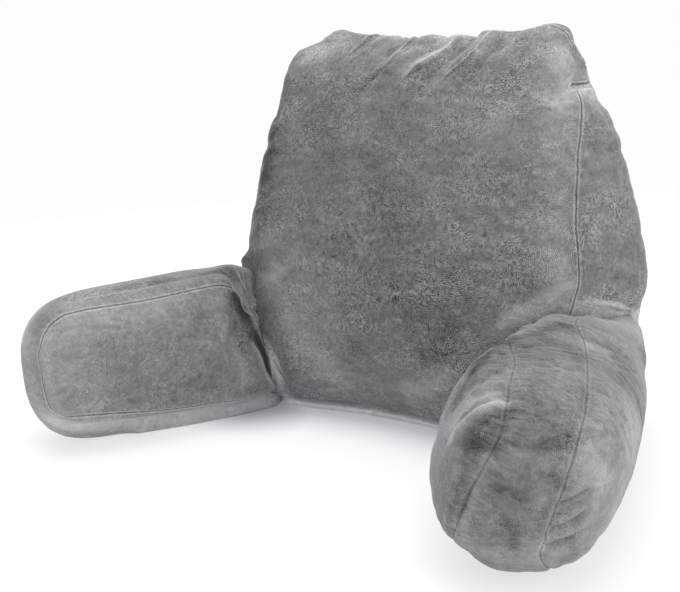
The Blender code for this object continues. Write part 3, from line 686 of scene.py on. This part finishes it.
def seam_marks(points, normals, tree, name):
    """What each point has from its nearest seam or crest: how far it is beside and to the right of it, how far along
    it, and the seam's dark and gather."""
    beside = np.full(len(points), SEAM_FAR)
    across = np.full(len(points), SEAM_FAR)
    run, dark, gather = np.zeros((3, len(points)))
    for seam in own(SEAMS, name):
        line = laid_line(tree, seam.places, seam.closed)
        near, aside, along = measured(points, normals, line, SEAM_FAR)
        nearer = np.abs(aside) < beside[near]
        near, aside, along = near[nearer], aside[nearer], along[nearer]
        beside[near] = np.abs(aside)
        across[near] = aside
        run[near] = along
        dark[near] = seam.dark if seam.dark > 0 else seam.dark * np.clip(from_ends(along, line) / CREST_FADE, 0, 1)
        gather[near] = seam.gather
    return beside, across, run, dark, gather


def seam_relief(beside, run, dark, crest):
    """How high a seam's groove, a fold's crest and the puckers beside them raise each point along its normal."""
    groove = np.exp(-(beside / GROOVE_WIDTH) ** 2)
    wander = PUCKER_WANDER * np.sin(2 * pi * run / (PUCKER_CYCLE * PUCKER_LENGTH))
    wave = np.sin(2 * pi * (run / PUCKER_LENGTH + wander))
    pucker = PUCKER_DEPTH * wave * np.exp(-beside / PUCKER_REACH) * (1 - np.exp(-beside / GROOVE_WIDTH))
    return CREST_RISE * crest * groove - GROOVE_DEPTH * groove * (dark > 0) + pucker


def press(crease, points, normals, line, lift, nap):
    """Adds a crease's rise or fall to lift, the height given to each point along its normal, and its painted light and
    shade to the tone.
    """
    near, aside, along = measured(points, normals, line, CREASE_REACH * crease.width)
    ends = np.clip(from_ends(along, line) / (FADE * length_of(line)), 0, 1)
    ends = ends * ends * (3 - 2 * ends)
    width = np.where(aside * crease.steep > 0, crease.width * STEEP, crease.width)
    lift[near] -= crease.depth * ends * bell(aside / width)
    if crease.width < FINE_CREASE:
        nap[near] -= CREST_PAINTED_LIGHT_AND_SHADE * crease.depth * ends * bell(aside / (CREST_WIDTH * width))
        if crease.steep and crease.depth < 0:
            below = (aside * crease.steep - LEE_PLACE * crease.width) / (LEE_WIDTH * crease.width)
            nap[near] += LEE_PAINTED_SHADE * crease.depth * ends * bell(below)


def sew(piece, name):
    """Presses seams, puckers and creases into a filled form, and marks its seams, its nap and its painted light and
    shade on it.
    """
    points = pushed(points_of(piece.data), tree_of(piece.data), name)
    set_above_floor(piece.data, points)
    normals = normals_of(piece.data)
    tree = tree_of(piece.data)
    beside, across, run, dark, gather = seam_marks(points, normals, tree, name)
    crest = np.maximum(-dark, 0.0)
    lift = seam_relief(beside, run, dark, crest)
    nap = np.zeros(len(points))
    for crease in own(CREASES, name):
        press(crease, points, normals, laid_line(tree, crease.places), lift, nap)
    # each stroke adds to the tone: brushed nap, or painted light and shade
    for stroke in own(STROKES, name):
        line = laid_line(tree, stroke.places)
        near, aside, _ = measured(points, normals, line, STROKE_REACH * stroke.reach)
        reach = np.where(aside * stroke.lean > 0, stroke.reach * STEEP, stroke.reach)
        nap[near] += stroke.tone * bell(aside / reach)
    points += normals * lift[:, None]
    set_above_floor(piece.data, points)
    marks = {
        "beside": beside, "across": across, "run": run, "dark": np.maximum(dark, 0.0), "crest": crest,
        "gather": gather, "nap": nap, "grain": np.full(len(points), CUSHIONS[name].grain)}
    for label, values in marks.items():
        attribute = piece.data.attributes.new(label, "FLOAT", "POINT")
        attribute.data.foreach_set("value", values.astype(np.float32))


class Wire:
    """A node's output. Python's operators on it add Math nodes."""

    def __init__(self, shader, socket):
        self.shader = shader
        self.socket = socket

    def math(self, operation, *values):
        return self.shader.node("ShaderNodeMath", {"operation": operation}, dict(enumerate(values)))

    def __add__(self, other):
        return self.math("ADD", self, other)

    __radd__ = __add__

    def __sub__(self, other):
        return self.math("SUBTRACT", self, other)

    def __rsub__(self, other):
        return self.math("SUBTRACT", other, self)

    def __mul__(self, other):
        return self.math("MULTIPLY", self, other)

    __rmul__ = __mul__

    def __pow__(self, other):
        return self.math("POWER", self, other)

    def __abs__(self):
        return self.math("ABSOLUTE", self)

    def at_least(self, other):
        return self.math("MAXIMUM", self, other)

    def at_most(self, other):
        return self.math("MINIMUM", self, other)


class Shader:
    """A material under construction."""

    def __init__(self, name):
        self.material = bpy.data.materials.new(name)
        self.material.use_nodes = True
        self.tree = self.material.node_tree
        self.tree.nodes.clear()

    def node(self, kind, settings=None, sockets=None, out=0):
        """Adds a node, and returns its output out, or the node itself where it has no output or out is None."""
        made = self.tree.nodes.new(kind)
        for name, value in (settings or {}).items():
            setattr(made, name, value)
        for name, value in (sockets or {}).items():
            if isinstance(value, Wire):
                self.tree.links.new(value.socket, made.inputs[name])
            else:
                made.inputs[name].default_value = value
        return Wire(self, made.outputs[out]) if made.outputs and out is not None else made

    def noise(self, coordinates, kind):
        return self.node("ShaderNodeTexNoise", None, {
            "Vector": coordinates, "Scale": kind.scale, "Detail": kind.detail, "Roughness": kind.roughness,
            "Distortion": kind.distortion})

    def attribute(self, name):
        return self.node("ShaderNodeAttribute", {"attribute_name": name}, out="Fac")

    def rise(self, value, low, high):
        """0 below low, 1 above high, and a smooth rise between."""
        return self.node("ShaderNodeMapRange", {"interpolation_type": "SMOOTHSTEP"},
                         {"Value": value, "From Min": low, "From Max": high})

    def fade(self, value, low, high):
        return 1 - self.rise(value, low, high)

    def finished(self, surface):
        """The material, showing a surface."""
        self.node("ShaderNodeOutputMaterial", None, {"Surface": surface})
        return self.material


def plush(name, grey):
    """Crushed plush: brushed patches, a fine crushed grain, gathers and stitch lines beside it, painted light and
    shade, and a soft sheen.
    """
    shader = Shader(name)
    place = shader.node("ShaderNodeTexCoord", out="Object")
    brushed_place = shader.node("ShaderNodeMapping", None, {
        "Vector": place, "Rotation": BRUSH_TURN, "Scale": BRUSH_STRETCH})
    patches = shader.noise(brushed_place, PATCHES)
    blotches = shader.noise(brushed_place, BLOTCHES)
    flecks = shader.noise(place, FLECKS)

    # the crushed grain: short ripples whose direction wanders over the cloth
    wander = shader.node("ShaderNodeTexNoise", None, {"Vector": place, **LAY_NOISE}, out="Color")
    lay = shader.node("ShaderNodeVectorMath", {"operation": "MULTIPLY_ADD"}, {0: wander, 1: LAY_SPREAD, 2: LAY_MEAN})
    crush = shader.node("ShaderNodeTexGabor", {"gabor_type": "3D"}, {"Vector": place, **CRUSH, ORIENTATION: lay})
    crush = shader.rise(crush + CRUSH_FLECKS * (flecks - 0.5), *CRUSH_RISE)
    crushed = shader.rise(patches * PATCH_SHARE + BLOTCH_SHARE * blotches, *CRUSHED_RISE)

    # stitch lines with a painted highlight on their rim, and the crests of folds with a painted highlight and painted
    # shade beside them
    beside = shader.attribute("beside")
    across = shader.attribute("across")
    from_line = abs(across).at_least(beside - OFF_LINE)
    uneven = shader.noise(place, UNEVEN)
    # the dark of a stitch line, and the painted shade in the fold of a tuck or pleat
    stitch_and_fold_shade = shader.fade(from_line, *STITCH_FADE) * shader.attribute("dark") * (STITCH_LEAST + uneven)
    rim = (shader.rise(from_line, *RIM_RISE) * shader.fade(from_line, *RIM_FADE)
           * (RIM_LEAST + uneven) * shader.attribute("dark") ** 2)
    crest = shader.fade(from_line, *CREST_DROP) * shader.attribute("crest") * (STITCH_LEAST + uneven)
    lee = shader.rise(across, *LEE_RISE) * shader.fade(across, *LEE_FADE) * shader.attribute("crest")

    # streaks where the cloth is gathered into a seam
    streak_place = shader.node("ShaderNodeCombineXYZ", None, {
        "X": shader.attribute("run") * RUN_SCALE, "Y": beside * BESIDE_SCALE})
    streaks = shader.noise(streak_place, STREAKS)
    gathered = shader.attribute("gather") * shader.fade(beside, *GATHER_FADE)

    # the tone: random patches, crushed grain and gathers, with brushed nap and painted light and shade from the
    # strokes and fine creases
    tone = (1 + (patches - 0.5) * PATCH_TONE + (blotches - 0.5) * BLOTCH_TONE + (flecks - 0.5) * FLECK_TONE
            + (crush - 0.5) * (CRUSH_TONE + crushed) * shader.attribute("grain")
            + (streaks - 0.5) * gathered * STREAK_TONE
            + shader.attribute("nap") * (NAP_AND_PAINTED_LIGHT_TONE + NAP_AND_PAINTED_LIGHT_BLOTCHY * blotches))
    # stitch lines darken the tone; painted shade beside crests, and painted highlights on seam rims and crests
    tone = tone.at_least(DARKEST) * (1 - stitch_and_fold_shade) * (1 - LEE_DARK * lee) + RIM_LIGHT * rim + CREST_LIGHT * crest
    colour = shader.node("ShaderNodeVectorMath", {"operation": "SCALE"}, {
        0: (grey, grey, grey * PLUSH_BLUE), "Scale": tone})
    height = (flecks * FLECK_HEIGHT + blotches * BLOTCH_HEIGHT - stitch_and_fold_shade * STITCH_HEIGHT
              + (streaks * gathered) * STREAK_HEIGHT)
    bump = shader.node("ShaderNodeBump", None, {**BUMP, "Height": height})
    return shader.finished(shader.node("ShaderNodeBsdfPrincipled", None, {
        "Base Color": colour, **SURFACE, "Normal": bump}))


def add_light(light):
    lamp = bpy.data.objects.new(light.name, bpy.data.lights.new(light.name, "AREA"))
    lamp.data.shape = "SQUARE"
    lamp.data.size = light.size
    lamp.data.energy = light.power
    lamp.location = light.place
    lamp.rotation_mode = "QUATERNION"
    lamp.rotation_quaternion = (Vector(LIGHTS_AIM) - Vector(light.place)).to_track_quat("-Z", "Y")
    bpy.context.scene.collection.objects.link(lamp)


def white_floor():
    """White that takes soft shadows near the pillow, has a painted shadow in the hollow between its arms and at the
    left arm's root, and is even far off.
    """
    shader = Shader("white_floor")
    place = shader.node("ShaderNodeTexCoord", out="Object")
    away = shader.node("ShaderNodeVectorMath", {"operation": "LENGTH"}, {0: place}, out="Value")
    far = shader.rise(away, *FLOOR_FADE)
    parted = shader.node("ShaderNodeSeparateXYZ", None, {0: place}, out=None)
    x, y = Wire(shader, parted.outputs["X"]), Wire(shader, parted.outputs["Y"])
    in_front = -1 * y - HOLLOW_FRONT - HOLLOW_CURVE * x * x
    corner = shader.node("ShaderNodeVectorMath", {"operation": "DISTANCE"}, {0: place, 1: HOLLOW_CORNER}, out="Value")
    # the floor's glow is darkened into a painted shadow in the hollow and at the left arm's root
    open_floor = shader.rise(in_front, *HOLLOW_EDGE).at_least(shader.rise(abs(x), *HOLLOW_SIDE))
    open_floor = open_floor.at_most(shader.rise(corner, *CORNER_FADE)).at_least(shader.rise(y, *HOLLOW_REAR))
    # the Mix node's sockets for vectors share their names with others, so they go by number
    glow_and_painted_shadow = shader.node("ShaderNodeMix", {"data_type": "VECTOR"}, {
        0: open_floor, 4: HOLLOW_PAINTED_SHADOW, 5: OPEN_BOUNCE}, out=1)
    near_white = shader.node("ShaderNodeBsdfPrincipled", None, {
        **FLOOR_SURFACE, "Emission Color": glow_and_painted_shadow, "Emission Strength": 1.0})
    far_white = shader.node("ShaderNodeEmission", None, {"Color": WHITE, "Strength": 1.0})
    return shader.finished(shader.node("ShaderNodeMixShader", None, {0: far, 1: near_white, 2: far_white}))


def add_studio():
    """A white floor and backdrop in an even white surround, with a soft light above and one to each side."""
    bpy.ops.mesh.primitive_circle_add(vertices=96, radius=FLOOR_RADIUS, fill_type="NGON", location=(0, 0, 0))
    floor = bpy.context.object
    floor.name = "floor"
    floor.data.materials.append(white_floor())

    world = bpy.data.worlds.new("surround")
    world.use_nodes = True
    world.node_tree.nodes["Background"].inputs["Color"].default_value = (1, 1, 1, 1)
    world.node_tree.nodes["Background"].inputs["Strength"].default_value = SURROUND_STRENGTH
    bpy.context.scene.world = world

    bpy.ops.mesh.primitive_uv_sphere_add(segments=64, ring_count=32, radius=DOME_RADIUS, location=(0, 0, 0))
    dome = bpy.context.object
    dome.name = "backdrop"
    shader = Shader("white_backdrop")
    surface = shader.node("ShaderNodeEmission", None, {"Color": WHITE, "Strength": 1.0})
    dome.data.materials.append(shader.finished(surface))
    # only the camera sees it
    dome.visible_diffuse = dome.visible_glossy = dome.visible_shadow = dome.visible_transmission = False

    for light in LIGHTS:
        add_light(light)
    bpy.context.scene.view_settings.view_transform = "Standard"


bpy.ops.object.select_all(action="DESELECT")
add_camera()
add_studio()
cloth = plush("grey_plush", PLUSH_GREY)
for name, cushion in CUSHIONS.items():
    piece = filled_form(name, cushion)
    sew(piece, name)
    piece.data.shade_smooth()
    piece.data.materials.append(cloth)
    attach(piece, "root")
    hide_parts(cushion.node)
